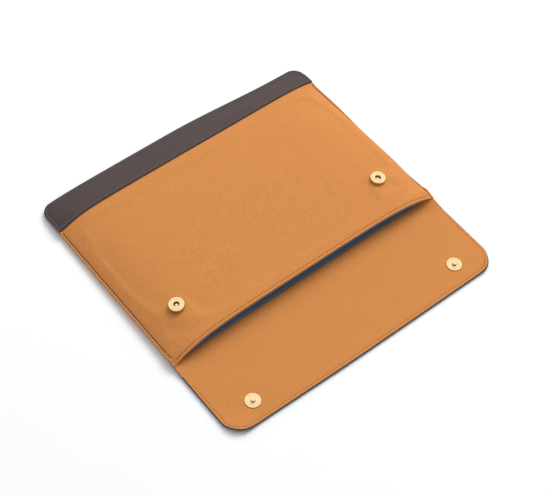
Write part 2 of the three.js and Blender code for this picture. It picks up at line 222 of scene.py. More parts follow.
def strip_top(x, y):
    return topside(x, y) + (SKIN + GAP) * (1 - smooth(PANEL_END, STRIP_DROP_END, y))


def bump_line(distance, width):
    """1 on a line and 0 away from it."""
    return np.exp(-((distance / width) ** 2))


def turned_flange(x, y, z):
    """The right seam allowance turns down beside the full pocket."""
    most = FLANGE_TURN * smooth(*FLANGE_TURN_START, y) * (1 - smooth(*FLANGE_TURN_END, y))
    angle = most * smooth(*FLANGE_BEND, x)
    reach = np.maximum(x - SEAM_X + FLANGE_PIVOT, 0)
    rise = np.clip(z - side_lift(x, y) - SKIN, *FLANGE_LAYERS)
    return (x - reach * (1 - np.cos(angle)) + rise * np.sin(angle),
            z - reach * np.sin(angle) - rise * (1 - np.cos(angle)))


# ---- Meshes ----

def place(points):
    """Pocket coordinates in millimetres to row-frame metres."""
    out = np.array(points, float).reshape(-1, 3)
    x, y = out[:, 0].copy(), out[:, 1].copy()
    to_right = smooth(0, HALF, x)
    to_border = smooth(BORDER_PUSH_Y, STRIP_EDGE, y)
    to_base = smooth(STRIP_EDGE, POCKET_LENGTH, y)
    base_shift = BORDER_PUSH * to_border - BASE_PULL * to_base
    left_sag = LEFT_SAG * smooth(LEFT_SAG_X, HALF, -x) * to_border * (1 - to_base)
    spread_share = LEFT_SPREAD_SHARE + (1 - LEFT_SPREAD_SHARE) * smooth(-HALF, 0, x)
    flap_spread = FLAP_SPREAD * smooth(-STUD_EDGE, -FLAP_END, -y) * spread_share
    out[:, 1] = y + FOLD_Y + to_right * base_shift - left_sag - flap_spread
    x_turned, out[:, 2] = turned_flange(x, y, out[:, 2])
    mouth_tuck = MOUTH_TUCK * smooth(*MOUTH_TUCK_START, y) * (1 - smooth(*MOUTH_TUCK_END, y))
    tuck = BASE_TUCK * smooth(TUCK_FROM, STRIP_EDGE, y) + mouth_tuck
    out[:, 0] = x_turned - tuck * smooth(TUCK_FROM, HALF, x)
    return out * MM


def mesh_object(name, points, faces, materials=()):
    """A smooth mesh in the scene, from points in metres."""
    mesh = bpy.data.meshes.new(name)
    mesh.from_pydata(points.tolist(), [], faces)
    for material in materials:
        mesh.materials.append(material)
    mesh.polygons.foreach_set("use_smooth", np.ones(len(faces), bool))
    made = bpy.data.objects.new(name, mesh)
    bpy.context.scene.collection.objects.link(made)
    return made


def placed_object(name, points, faces, materials, face_materials=None):
    """A mesh from pocket coordinates. face_materials is the number of each face's material."""
    made = mesh_object(name, place(points), faces, materials)
    if face_materials is not None:
        made.data.polygons.foreach_set("material_index", np.array(face_materials, np.int32))
    made.data.validate()
    return made


# Grid lines this far from an edge carry its rounding, and no two lines are closer than LEAST_STEP
EDGE_INSETS = np.array((0, 0.05, 0.16, 0.32, 0.55, 0.9, 1.25, 1.8))
LEAST_STEP = 0.04
DECIMALS = 4


def grid_lines(low, high, step, extra=()):
    """Values from low to high, about a step apart and closer near both ends."""
    count = max(2, round((high - low) / step))
    values = set(np.round(np.linspace(low, high, count + 1), DECIMALS))
    values |= set(np.round(low + EDGE_INSETS, DECIMALS))
    values |= set(np.round(high - EDGE_INSETS, DECIMALS))
    values |= {round(v, DECIMALS) for v in extra if low < v < high}
    out = [min(values)]
    for v in sorted(values)[1:]:
        if v - out[-1] > LEAST_STEP:
            out.append(v)
    return np.array(out)


SIDE_POINTS = 40
CORNER_POINTS = 14
END_POINTS = 80
SQUEEZE_REACH = 12
SETBACK_REACH = 25


class Outline:
    """A sheet's outline across the sleeve from y = start to end, with round corners at one end."""

    def __init__(self, start, end, half=None, corner=0, round_end=True, start_curve=None):
        self.start, self.end = start, end
        self.half = HALF if half is None else half
        self.corner, self.round_end = corner, round_end
        self.start_curve = start_curve or (lambda x: np.full_like(x, start, dtype=float))

    def half_at(self, y):
        if not self.corner:
            return np.full_like(y, self.half, dtype=float)
        past = y - (self.end - self.corner) if self.round_end else (self.start + self.corner) - y
        past = np.clip(past, 0, self.corner)
        return self.half - self.corner + np.sqrt(self.corner**2 - past**2)

    def distance(self, x, y):
        """How far inside the outline a point is."""
        inside = np.minimum(self.half - np.abs(x), self.end - y)
        inside = np.minimum(inside, y - self.start_curve(x))
        if self.corner:
            round_y = self.end - self.corner if self.round_end else self.start + self.corner
            u = np.abs(x) - (self.half - self.corner)
            v = (y - round_y) if self.round_end else (round_y - y)
            in_corner = (u > 0) & (v > 0)
            inside = np.where(in_corner, self.corner - np.hypot(u, v), inside)
        return np.maximum(0, inside)

    def grid(self, step_x=3.5, step_y=3.5, extra_x=(), extra_y=()):
        """x and y of a grid that fills the outline."""
        columns = grid_lines(-self.half, self.half, step_x, [*extra_x, *[-v for v in extra_x]])
        arcs = ()
        if self.corner:
            turns = self.corner * (1 - np.sin(np.linspace(0, math.pi / 2, CORNER_POINTS)))
            arcs = self.end - turns if self.round_end else self.start + turns
        rows = grid_lines(self.start, self.end, step_y, [*extra_y, *arcs])
        squeeze_from = self.half - max(self.corner, 1) - SQUEEZE_REACH
        x = np.repeat(columns[None, :], len(rows), 0)
        y = np.repeat(rows[:, None], len(columns), 1)
        setback = self.start_curve(x) - self.start
        y = y + setback * (1 - smooth(self.start, self.start + SETBACK_REACH, y))
        excess = np.maximum(0, np.abs(x) - squeeze_from)
        scale = (self.half_at(y) - squeeze_from) / (self.half - squeeze_from)
        x = np.sign(x) * (np.abs(x) - excess + excess * scale)
        return x, y


EDGE_ROUNDNESS = 0.96


def slab(name, x, y, bottom, top, distance, materials, painted):
    """A closed sheet over a grid, with round edges.

    Faces closer to the edge than painted take materials[1], which an unpainted sheet doesn't need.
    """
    rows, columns = x.shape
    half = (top - bottom) / 2
    middle = (top + bottom) / 2
    edge = half * EDGE_ROUNDNESS
    inward = np.clip(distance / edge, 0, 1)
    rise = half - edge * (1 - np.sqrt(1 - (1 - inward) ** 2))
    upper = np.stack([x, y, middle + rise], -1).reshape(-1, 3)
    lower = np.stack([x, y, middle - rise], -1).reshape(-1, 3)
    top_index = np.arange(rows * columns).reshape(rows, columns)
    low_index = top_index + rows * columns
    near_edge = distance < painted
    faces, chosen = [], []
    for j in range(rows - 1):
        for i in range(columns - 1):
            paint = int(near_edge[j : j + 2, i : i + 2].sum() > 2)
            a, b, c, d = top_index[j, i], top_index[j, i + 1], top_index[j + 1, i + 1], top_index[j + 1, i]
            faces.append((a, b, c, d))
            a, b, c, d = low_index[j, i], low_index[j + 1, i], low_index[j + 1, i + 1], low_index[j, i + 1]
            faces.append((a, b, c, d))
            chosen += [paint, paint]
    loop = [(0, i) for i in range(columns)] + [(j, columns - 1) for j in range(1, rows)]
    loop += [(rows - 1, i) for i in range(columns - 2, -1, -1)] + [(j, 0) for j in range(rows - 2, 0, -1)]
    for here, there in zip(loop, loop[1:] + loop[:1]):
        faces.append((low_index[here], low_index[there], top_index[there], top_index[here]))
        chosen.append(int(painted > 0))
    faces = [tuple(int(v) for v in face) for face in faces]
    return placed_object(name, np.concatenate([upper, lower]), faces, materials, chosen)


def sweep(name, path, outward, section, materials):
    """A solid bar: section is a closed list of (outward, height) pairs, carried along path (x, y, z)."""
    count, size = len(path), len(section)
    points = []
    for (px, py, pz), (nx, ny) in zip(path, outward):
        points += [(px + nx * o, py + ny * o, pz + h) for o, h in section]
    faces = []
    for k in range(count - 1):
        for m in range(size):
            n = (m + 1) % size
            faces.append((k * size + m, k * size + n, (k + 1) * size + n, (k + 1) * size + m))
    faces.append(tuple(reversed(range(size))))
    faces.append(tuple(range((count - 1) * size, count * size)))
    made = placed_object(name, points, faces, materials)
    face_outwards(made)
    return made


def face_outwards(made):
    shape = bmesh.new()
    shape.from_mesh(made.data)
    bmesh.ops.recalc_face_normals(shape, faces=shape.faces)
    shape.to_mesh(made.data)
    shape.free()


def u_path(start, end, corner, inset):
    """Points and outward directions inside an edge: down one side, round both corners, and up the other."""
    turn = 1 if end > start else -1
    side = HALF - inset
    bend = corner - inset
    middle_y = end - turn * corner
    left = [((-side, lerp(start, middle_y, t)), (-1, 0)) for t in np.linspace(0, 1, SIDE_POINTS)[:-1]]
    for angle in np.linspace(0, math.pi / 2, CORNER_POINTS):
        out_x, out_y = -math.cos(angle), turn * math.sin(angle)
        left.append(((-side + bend + bend * out_x, middle_y + bend * out_y), (out_x, out_y)))
    bottom = [((lerp(bend - side, side - bend, t), end - turn * inset), (0, turn))
              for t in np.linspace(0, 1, END_POINTS)[1:-1]]
    right = [((-x, y), (-out_x, out_y)) for (x, y), (out_x, out_y) in reversed(left)]
    points, outward = zip(*left, *bottom, *right)
    return np.array(points), np.array(outward)


def lathe(name, profile, base, normal, materials, segments=72):
    """A turned part. profile is a list of (radius, height); it closes on itself or on the axis."""
    turn = Vector((0, 0, 1)).rotation_difference(Vector(normal)).to_matrix()
    points, rings = [], []
    for radius, height in profile:
        if radius == 0:
            rings.append([len(points)] * segments)
            points.append((0, 0, height))
            continue
        rings.append([len(points) + k for k in range(segments)])
        for k in range(segments):
            angle = 2 * math.pi * k / segments
            points.append((radius * math.cos(angle), radius * math.sin(angle), height))
    if profile[0][0]:
        rings.append(rings[0])
    faces = []
    for low, high in zip(rings, rings[1:]):
        for k in range(segments):
            n = (k + 1) % segments
            face = list(dict.fromkeys((low[k], low[n], high[n], high[k])))
            if len(face) > 2:
                faces.append(tuple(face))
    made = mesh_object(name, np.array(points) * MM, faces, materials)
    face_outwards(made)
    made.matrix_world = Matrix.Translation(place([base])[0].tolist()) @ turn.to_4x4()
    mark_sharp_edges(made)
    return made


SHARP_ANGLE = math.radians(35)


def mark_sharp_edges(made):
    """Marks the edges between faces that meet at a sharp angle, so that flat faces stay flat."""
    shape = bmesh.new()
    shape.from_mesh(made.data)
    for edge in shape.edges:
        if len(edge.link_faces) == 2 and edge.calc_face_angle(0) > SHARP_ANGLE:
            edge.smooth = False
    shape.to_mesh(made.data)
    shape.free()


def fillet(centre_r, centre_z, radius, start, end, steps=5):
    """Points of a round edge in a lathe profile, between two angles in degrees."""
    angles = np.radians(np.linspace(start, end, steps + 1))
    return [(centre_r + radius * math.cos(a), centre_z + radius * math.sin(a)) for a in angles]


# ---- Stitches ----

SLOPE_STEP = 0.8
ALONG_STEP = 0.4
STITCH_RINGS = (-1, -0.82, -0.45, 0, 0.45, 0.82, 1)
STITCH_TURN = 2.5
END_TAPER = 0.85
THINNEST = 0.03
MIDDLE_LIFT = 0.3
END_DIP = 0.55
HEXAGON = np.arange(6) * math.pi / 3
OCTAGON = np.arange(8) * math.pi / 4
# Radius as a share of the needle hole's, and height above the surface, for the dark lens that is painted
# shade in the hole
HOLE_RINGS = ((0.5, -0.2), (1, 0), (0.8, 0.05), (0.3, 0.07))
HOLE_FACING = (0.3, 1, 0)


def surface_normal(height, x, y):
    step = SLOPE_STEP
    slope_x = (height(x + step, y) - height(x - step, y)) / (2 * step)
    slope_y = (height(x, y + step) - height(x, y - step)) / (2 * step)
    normal = np.array([-slope_x, -slope_y, 1.0])
    return normal / np.linalg.norm(normal)


def stitches(name, flat_path, height, materials, pitch, width=0.6, share=0.66, slant=0, hole=0.5,
             down=False):
    """Single stitches along a line on a surface, each with a dark lens at its needle hole: painted shade in
    the hole.

    materials are the thread's and the hole's painted shade. share is the part of the pitch that a stitch
    fills, slant its angle to the line in degrees, hole the needle hole's radius, and down says that the
    surface faces down.
    """
    flat_path = np.array(flat_path, float)
    heights = np.array([height(px, py) for px, py in flat_path])
    path = np.column_stack([flat_path, heights])
    travelled = np.concatenate([[0], np.cumsum(np.linalg.norm(np.diff(path, axis=0), axis=1))])
    count = max(1, round(travelled[-1] / pitch))
    pitch = travelled[-1] / count
    side = -1 if down else 1
    points, faces, chosen = [], [], []

    def at(s):
        x, y = (float(np.interp(s, travelled, flat_path[:, k])) for k in (0, 1))
        return np.array([x, y, float(height(x, y))])

    def closed_rings(rings, material):
        first = len(points)
        size = len(rings[0])
        for ring in rings:
            points.extend(ring)
        for k in range(len(rings) - 1):
            for m in range(size):
                n = (m + 1) % size
                a = first + k * size
                faces.append((a + m, a + n, a + size + n, a + size + m))
                chosen.append(material)
        faces.append(tuple(first + m for m in reversed(range(size))))
        faces.append(tuple(first + (len(rings) - 1) * size + m for m in range(size)))
        chosen.extend([material, material])

    for k in range(count):
        middle = at((k + 0.5) * pitch)
        along = at((k + 0.5) * pitch + ALONG_STEP) - at((k + 0.5) * pitch - ALONG_STEP)
        along /= np.linalg.norm(along)
        up = side * surface_normal(height, middle[0], middle[1])
        across_line = np.cross(up, along)
        angle = math.radians(slant + random.uniform(-STITCH_TURN, STITCH_TURN))
        along = along * math.cos(angle) + across_line * math.sin(angle)
        across_line = np.cross(up, along)
        rings = []
        for u in STITCH_RINGS:
            radius = width / 2 * math.sqrt(max(THINNEST, 1 - END_TAPER * u * u))
            lift = width * (MIDDLE_LIFT - END_DIP * u * u)
            core = middle + along * (u * share * pitch / 2) + up * lift
            rings.append([core + radius * (math.cos(t) * across_line + math.sin(t) * up) for t in HEXAGON])
        closed_rings(rings, 0)
    # A dark lens at each needle hole, which is painted shade
    for k in range(count + 1):
        middle = at(min(k * pitch, travelled[-1]))
        up = side * surface_normal(height, middle[0], middle[1])
        along = np.cross(up, HOLE_FACING)
        along /= np.linalg.norm(along)
        across_line = np.cross(up, along)
        rings = []
        for radius, lift in HOLE_RINGS:
            core = middle + up * lift
            rings.append([core + hole * radius * (math.cos(t) * along + math.sin(t) * across_line)
                          for t in OCTAGON])
        closed_rings(rings, 1)
    made = placed_object(name, points, faces, materials, chosen)
    face_outwards(made)
    return made


# ---- Materials ----

def node_tree(name):
    material = bpy.data.materials.new(name)
    material.use_nodes = True
    tree = material.node_tree
    shader = tree.nodes["Principled BSDF"]
    coordinates = tree.nodes.new("ShaderNodeTexCoord").outputs["Object"]
    return material, tree, shader, coordinates


def noise(tree, coordinates, size, detail=3.0):
    """Noise whose grains are about size millimetres across."""
    made = tree.nodes.new("ShaderNodeTexNoise")
    made.inputs["Scale"].default_value = 1 / (size * MM)
    made.inputs["Detail"].default_value = detail
    tree.links.new(coordinates, made.inputs["Vector"])
    return made.outputs["Fac"]


def tinted(tree, factor, dark, light, low=0.3, high=0.7):
    """A colour between dark and light, as factor goes from low to high."""
    ramp = tree.nodes.new("ShaderNodeValToRGB")
    ramp.color_ramp.elements[0].position = low
    ramp.color_ramp.elements[0].color = (*dark, 1)
    ramp.color_ramp.elements[1].position = high
    ramp.color_ramp.elements[1].color = (*light, 1)
    tree.links.new(factor, ramp.inputs["Fac"])
    return ramp.outputs["Color"]


def add_values(tree, first, second, share):
    """first + share x second."""
    made = tree.nodes.new("ShaderNodeMath")
    made.operation = "MULTIPLY_ADD"
    made.inputs[1].default_value = share
    tree.links.new(second, made.inputs[0])
    tree.links.new(first, made.inputs[2])
    return made.outputs[0]


def bump(tree, shader, height, strength, depth):
    made = tree.nodes.new("ShaderNodeBump")
    made.inputs["Strength"].default_value = strength
    made.inputs["Distance"].default_value = depth * MM
    tree.links.new(height, made.inputs["Height"])
    tree.links.new(made.outputs["Normal"], shader.inputs["Normal"])


def shades(colour, spread_share):
    return ([c * (1 - spread_share) for c in colour], [c * (1 + spread_share) for c in colour])


BROAD_GRAIN = 9
COLOUR_SPAN = 0.2
WAVE_BANDS = 3.2


def surface(name, colour, roughness, grain, contrast, depth, metallic=0.0, sheen=0.0, specular=0.5,
            broad_share=0.3):
    """A fine-grained surface: colour varies by contrast, and its grain is size grain and height depth."""
    material, tree, shader, coordinates = node_tree(name)
    fine = noise(tree, coordinates, grain)
    broad = noise(tree, coordinates, grain * BROAD_GRAIN, detail=2.0)
    mixed = add_values(tree, fine, broad, broad_share)
    middle = 0.5 + 0.5 * broad_share
    colours = tinted(tree, mixed, *shades(colour, contrast), middle - COLOUR_SPAN, middle + COLOUR_SPAN)
    tree.links.new(colours, shader.inputs["Base Color"])
    shader.inputs["Roughness"].default_value = roughness
    shader.inputs["Metallic"].default_value = metallic
    shader.inputs["Specular IOR Level"].default_value = specular
    shader.inputs["Sheen Weight"].default_value = sheen
    shader.inputs["Sheen Roughness"].default_value = 0.5
    bump(tree, shader, fine, strength=0.5, depth=depth)
    return material


def woven(name, colour, roughness, pitch):
    """A plain weave. A wave texture of scale 1 draws WAVE_BANDS bands per unit of length."""
    material, tree, shader, coordinates = node_tree(name)
    weave = None
    for direction in ("X", "Y"):
        wave = tree.nodes.new("ShaderNodeTexWave")
        wave.bands_direction = direction
        wave.inputs["Scale"].default_value = 1 / (pitch * MM) / WAVE_BANDS
        wave.inputs["Distortion"].default_value = 0.6
        tree.links.new(coordinates, wave.inputs["Vector"])
        weave = wave.outputs["Fac"] if weave is None else add_values(tree, weave, wave.outputs["Fac"], 1)
    colours = tinted(tree, weave, *shades(colour, 0.25), low=0.4, high=1.6)
    tree.links.new(colours, shader.inputs["Base Color"])
    shader.inputs["Roughness"].default_value = roughness
    bump(tree, shader, weave, strength=0.6, depth=0.08)
    return material


def brushed(name, colour, roughness):
    """Metal brushed in rings round the object's own axis."""
    material, tree, shader, coordinates = node_tree(name)
    rings = tree.nodes.new("ShaderNodeTexWave")
    rings.wave_type = "RINGS"
    rings.rings_direction = "Z"
    rings.inputs["Scale"].default_value = 1200
    rings.inputs["Distortion"].default_value = 4
    rings.inputs["Detail"].default_value = 3
    tree.links.new(coordinates, rings.inputs["Vector"])
    tree.links.new(tinted(tree, rings.outputs["Fac"], *shades(colour, 0.08)), shader.inputs["Base Color"])
    shader.inputs["Roughness"].default_value = roughness
    shader.inputs["Metallic"].default_value = 1
    bump(tree, shader, rings.outputs["Fac"], strength=0.12, depth=0.02)
    return material


tan = surface("tan microfibre", (0.625, 0.246, 0.070), 0.95, 1.7, 0.09, 0.12, sheen=0.08, specular=0.15,
              broad_share=0.12)
leather = surface("dark leather", (0.068, 0.044, 0.043), 0.5, 0.8, 0.12, 0.06, specular=0.35)
paint = surface("edge paint", (0.12, 0.155, 0.18), 0.4, 1.5, 0.08, 0.02)
paint_dark = surface("dark edge paint", (0.008, 0.008, 0.010), 0.4, 1.5, 0.08, 0.02)
# The navy lining is lightened to stand for light reflected onto it at the mouth: partly its own colour,
# partly painted reflection
lining_cloth = woven("lining", (0.15, 0.20, 0.27), 0.85, 0.5)
foam = surface("foam", (0.26, 0.27, 0.28), 1.0, 0.9, 0.15, 0.2)
board = surface("board", (0.18, 0.16, 0.14), 0.8, 1.2, 0.1, 0.05)
steel = surface("steel", (0.33, 0.34, 0.35), 0.4, 0.5, 0.06, 0.02, metallic=1.0)
magnet = surface("magnet", (0.1, 0.1, 0.11), 0.4, 0.5, 0.06, 0.02, metallic=1.0)
brass = brushed("brass", (0.79, 0.60, 0.325), 0.32)
# Only the side seams use this; their dark colour is partly the thread's own and partly painted crease shade
brown_thread = surface("brown thread and painted crease shade", (0.035, 0.018, 0.012), 0.7, 0.25, 0.3, 0.05)
tan_thread = surface("tan thread", (0.62, 0.215, 0.055), 0.7, 0.25, 0.15, 0.05)
grey_thread = surface("grey thread", (0.22, 0.18, 0.18), 0.6, 0.25, 0.2, 0.05)
# Needle holes: a dark colour that stands for the shade inside each hole, painted shade
tan_hole_painted_shade = surface("painted shade in tan needle hole", (0.11, 0.032, 0.012), 0.9, 0.3, 0.2, 0.05)
leather_hole_painted_shade = surface("painted shade in leather needle hole", (0.012, 0.01, 0.01), 0.8, 0.3, 0.2, 0.02)


# ---- Sleeve ----

FAR_AWAY = 1000


def sheet_at(name, outline, under, over, materials, painted=0, open_start=False, open_end=False, **steps):
    """A sheet between two surfaces under(x, y) and over(x, y).

    An open end is a straight cut without a round edge.
    """
    x, y = outline.grid(**steps)
    distance = outline.distance(x, y)
    if open_start or open_end:
        longer = Outline(outline.start - FAR_AWAY * open_start, outline.end + FAR_AWAY * open_end,
                         outline.half, outline.corner, outline.round_end)
        distance = longer.distance(x, y)
    return slab(name, x, y, under(x, y), over(x, y), distance, materials, painted)


PUCKER_HEIGHT = 0.16
PUCKER_PITCH = 9.0
PUCKER_WIDTH = 4.0
PUCKER_INSET = 8


def puckers(x, y):
    """Small pleats that a seam draws into the fabric beside it, uneven in spacing and in depth."""
    wander = np.sin(y / 23 + np.sign(x)) * 1.3 + np.sin(y / 51) * 2
    along = 0.6 + 0.4 * np.sin(y / 31 + 2 * np.sign(x))
    pleats = np.sin(2 * math.pi * y / PUCKER_PITCH + wander)
    return PUCKER_HEIGHT * along * pleats * bump_line(SEAM_THREAD - PUCKER_INSET - np.abs(x), PUCKER_WIDTH)


# The cloth is settled at ten times its size, on a coarse grid that stays clear of the seams
SIM_SCALE = 10
SIM_FRAMES = 24
SLACK = 0.004
CLOTH_COLUMNS = 80
CLOTH_ROWS = 50
CLOTH_HALF = SEAM_X - 6
CLOTH_START = MOUTH_SIDE_Y + MOUTH_SETBACK + 10
CLOTH_END = STRIP_EDGE - 8
START_WAVE = 0.12
HELD_REACH = 9
LEAST_HOLD = 0.06
MOST_GAIN = 1.2


def settled_heights():
    """Coarse grid of the height that the front panel gains when its cloth, a little too long, settles."""
    grid_x = np.linspace(-CLOTH_HALF, CLOTH_HALF, CLOTH_COLUMNS)
    grid_y = np.linspace(CLOTH_START, CLOTH_END, CLOTH_ROWS)
    x, y = np.meshgrid(grid_x, grid_y)
    wave = START_WAVE * np.sin(x / 19 + 1.1 * np.sin(y / 27)) * np.sin(y / 23 + 0.7 * np.sin(x / 31))
    z = topside(x, y) + wave
    points = np.stack([x, y, z], -1).reshape(-1, 3) * MM * SIM_SCALE
    index = np.arange(x.size).reshape(x.shape)
    faces = [(int(index[j, i]), int(index[j, i + 1]), int(index[j + 1, i + 1]), int(index[j + 1, i]))
             for j in range(CLOTH_ROWS - 1) for i in range(CLOTH_COLUMNS - 1)]
    cloth = mesh_object("cloth", points, faces)
    edge = np.minimum.reduce([x - grid_x[0], grid_x[-1] - x, y - grid_y[0], grid_y[-1] - y])
    snap_x, snap_y = centre_of("socket_cap_right")[:2]
    near_snap = np.hypot(np.abs(x) - snap_x, y - snap_y) - SNAP_RADIUS
    held = 1 - smooth(0, HELD_REACH, np.minimum(edge, near_snap))
    weights = np.maximum(LEAST_HOLD, held).reshape(-1)
    pins = cloth.vertex_groups.new(name="pins")
    for k, weight in enumerate(weights):
        pins.add([k], float(weight), "REPLACE")
    settings = cloth.modifiers.new("cloth", "CLOTH").settings
    settings.quality = 6
    settings.mass = 0.4
    settings.tension_stiffness = 25
    settings.compression_stiffness = 25
    settings.shear_stiffness = 15
    settings.bending_stiffness = 4
    settings.vertex_group_mass = "pins"
    settings.pin_stiffness = 1
    settings.shrink_min = -SLACK
    settings.effector_weights.gravity = 0.2
    scene = bpy.context.scene
    for number in range(1, SIM_FRAMES + 1):
        scene.frame_set(number)
    result = cloth.evaluated_get(bpy.context.evaluated_depsgraph_get()).data
    moved = np.empty(len(result.vertices) * 3)
    result.vertices.foreach_get("co", moved)
    gain = moved.reshape(-1, 3)[:, 2] / MM / SIM_SCALE - topside(x, y).reshape(-1)
    bpy.data.objects.remove(cloth)
    scene.frame_set(1)
    return grid_x, grid_y, np.clip(gain.reshape(x.shape), -MOST_GAIN, MOST_GAIN)


def sampled(grid_x, grid_y, values, x, y):
    """Bilinear reading of a grid; it is 0 outside it."""
    # Just short of the last grid line, so that there is always a next one
    last_y, last_x = np.array(values.shape) - 1.001
    i = np.clip((x - grid_x[0]) / (grid_x[1] - grid_x[0]), 0, last_x)
    j = np.clip((y - grid_y[0]) / (grid_y[1] - grid_y[0]), 0, last_y)
    i0, j0 = i.astype(int), j.astype(int)
    u, v = i - i0, j - j0
    low = lerp(values[j0, i0], values[j0, i0 + 1], u)
    high = lerp(values[j0 + 1, i0], values[j0 + 1, i0 + 1], u)
    inside = (x >= grid_x[0]) & (x <= grid_x[-1]) & (y >= grid_y[0]) & (y <= grid_y[-1])
    return np.where(inside, lerp(low, high, v), 0)


cloth_x, cloth_y, cloth_gain = settled_heights()

# How deep each line of stitches draws the surface in, and how wide its groove is
GROOVE_WIDTH = 1.0
SEAM_GROOVE = 0.2
BACK_SEAM_GROOVE = 0.15
FACING_GROOVE = 0.18
HEM_GROOVE = 0.3
HEM_GROOVE_WIDTH = 1.1
STRIP_GROOVE = 0.3
STRIP_GROOVE_WIDTH = 0.7
STRIP_BEAD = 0.15
STRIP_BEAD_WIDTH = 0.8

# Where the surfaces change near the mouth and the base, in y or in distance from the mouth's edge
PUCKER_START = (6, 16)
CREASE_END = (190, 200)
HEM_END = (8, 9.5)
LINING_RISE_END = (0.5, 8)
LINING_ROLL_END = (2.0, 4.5)
LINING_ROLL = 1.9
HEM_GAP = 0.1
FACING_DIP = 0.8
FACING_DIP_START = (-8, 2)


def padding_share(x):
    """1 over the padding, falling to 0 at the sides of the lining."""
    return 1 - smooth(PADDING_HALF, LINING_HALF, np.abs(x))


def front_top(x, y):
    hem_line = HEM_GROOVE * bump_line(y - mouth_y(x) - HEM_INSET, HEM_GROOVE_WIDTH)
    seam_line = SEAM_GROOVE * bump_line(np.abs(x) - SEAM_THREAD, GROOVE_WIDTH) * (y < STRIP_EDGE)
    gain = sampled(cloth_x, cloth_y, cloth_gain, x, y) + puckers(x, y) * smooth(*PUCKER_START, y)
    return topside(x, y) + gain * (1 - smooth(*CREASE_END, y)) - hem_line - seam_line


def front_height(x, y):
    """front_top at a single point."""
    return front_top(np.float64(x), np.float64(y))


def front_bottom(x, y):
    hem = SKIN * (1 - smooth(*HEM_END, y - mouth_y(x))) * padding_share(x)
    return front_top(x, y) - SKIN - hem


def back_bottom(x, y):
    seam_line = BACK_SEAM_GROOVE * bump_line(np.abs(x) - SEAM_THREAD, GROOVE_WIDTH)
    return underside(x, y) + lap_rise(y) + seam_line


def back_top(x, y):
    return back_bottom(x, y) + SKIN


def lining_depth(x):
    return SKIN + GAP + (PADDING + GAP) * padding_share(x)


def front_lining_top(x, y):
    """The lining comes up to the hem at the mouth, and its edge is turned there."""
    at_mouth = 1 - smooth(*LINING_RISE_END, y - mouth_y(x))
    depth = lerp(lining_depth(x), SKIN + (SKIN + HEM_GAP) * padding_share(x) + HEM_GAP, at_mouth)
    return front_top(x, y) - depth


def front_lining_bottom(x, y):
    """The turned edge at the mouth is thicker than the lining."""
    rolled = LINING_ROLL * (1 - smooth(*LINING_ROLL_END, y - mouth_y(x))) * padding_share(x)
    return front_lining_top(x, y) - (LINING + rolled)


def back_lining_bottom(x, y):
    return underside(x, y) + np.maximum(lining_depth(x), lap_rise(y) + SKIN + GAP)


def back_lining_top(x, y):
    return back_lining_bottom(x, y) + LINING


def corner_lift(x, y):
    """The flap's outer corners curl up a little from the ground."""
    most = np.where(x < 0, LEFT_CURL, RIGHT_CURL)
    return most * smooth(CURL_X, HALF, np.abs(x)) * smooth(CURL_Y, -FLAP_END, -y)


def cover_bottom(x, y):
    return underside(x, y) + corner_lift(x, y)


def cover_top(x, y):
    return cover_bottom(x, y) + SKIN


def facing_bottom(x, y):
    dip = FACING_DIP * edge_rise(across(x)) * smooth(*FACING_DIP_START, y)
    return cover_bottom(x, y) + (FLAP_TOP - SKIN - dip)


def facing_top(x, y):
    inside = np.minimum(HALF - np.abs(x), y - FLAP_END)
    line = FACING_GROOVE * bump_line(inside - HEM_INSET, GROOVE_WIDTH) * (y < UPPER_FOLD)
    return facing_bottom(x, y) + SKIN - line


# Grid lines are close together where a seam, the hem or the turned lining shapes the surface
SEAM_COLUMNS = tuple(SEAM_THREAD + d for d in (-14, -12, -10, -8, -6, -4, -2.5, -1.2, 0, 0.8, 1.4))
STRIP_COLUMNS = (*(HALF - d for d in (11, 9, 7, 5, 3.8, 2.2)), SEAM_X)
FACING_COLUMNS = tuple(HALF - HEM_INSET + d for d in (-1.5, -0.7, 0, 0.7, 1.5))
HEM_ROWS = (4, 4.7, 5.5, 6.3, 7, 9.6, 10.2)
LINING_ROWS = (3.2, 4, 5, 6, 7, 8, 9)

front_outline = Outline(MOUTH_SIDE_Y, PANEL_END, start_curve=mouth_y)
front_panel = sheet_at("front_panel_cloth", front_outline, front_bottom, front_top, [tan],
                       step_x=3, step_y=3, extra_x=SEAM_COLUMNS, extra_y=HEM_ROWS)
back_outline = Outline(FACING_DEPTH + GAP, PANEL_END)
back_panel = sheet_at("back_panel_cloth", back_outline, back_bottom, back_top, [tan],
                      extra_x=SEAM_COLUMNS)

# The foam lies from FOAM_NEAR to FOAM_FAR inside the outer surface
FOAM_NEAR = 1.5
FOAM_FAR = 3.0
HEM_DEPTH = 9
FRONT_FOAM_END = 201
BACK_FOAM = (22, 190)
foam_grid = {"step_x": 6, "step_y": 6}
front_foam = Outline(mouth_y(0) + HEM_DEPTH, FRONT_FOAM_END, PADDING_HALF)
front_pad = sheet_at("front_padding_foam", front_foam, lambda x, y: topside(x, y) - FOAM_FAR,
                     lambda x, y: topside(x, y) - FOAM_NEAR, [foam], **foam_grid)
back_pad = sheet_at("back_padding_foam", Outline(*BACK_FOAM, PADDING_HALF),
                    lambda x, y: underside(x, y) + FOAM_NEAR,
                    lambda x, y: underside(x, y) + FOAM_FAR, [foam], **foam_grid)

LINING_SETBACK = 0.1
lining_start = Outline(MOUTH_SIDE_Y + LINING_SETBACK, LINING_END, LINING_HALF,
                       start_curve=lambda x: mouth_y(x) + LINING_SETBACK)
front_lining = sheet_at("front_lining_cloth", lining_start, front_lining_bottom, front_lining_top,
                        [lining_cloth], extra_y=LINING_ROWS)
back_lining = sheet_at("back_lining_cloth", Outline(FACING_DEPTH + GAP, PANEL_END, LINING_HALF),
                       back_lining_bottom, back_lining_top, [lining_cloth])

strip_outline = Outline(STRIP_EDGE, POCKET_LENGTH, corner=BASE_CORNER)
strip_grid = {"step_y": 2.5, "extra_x": STRIP_COLUMNS}


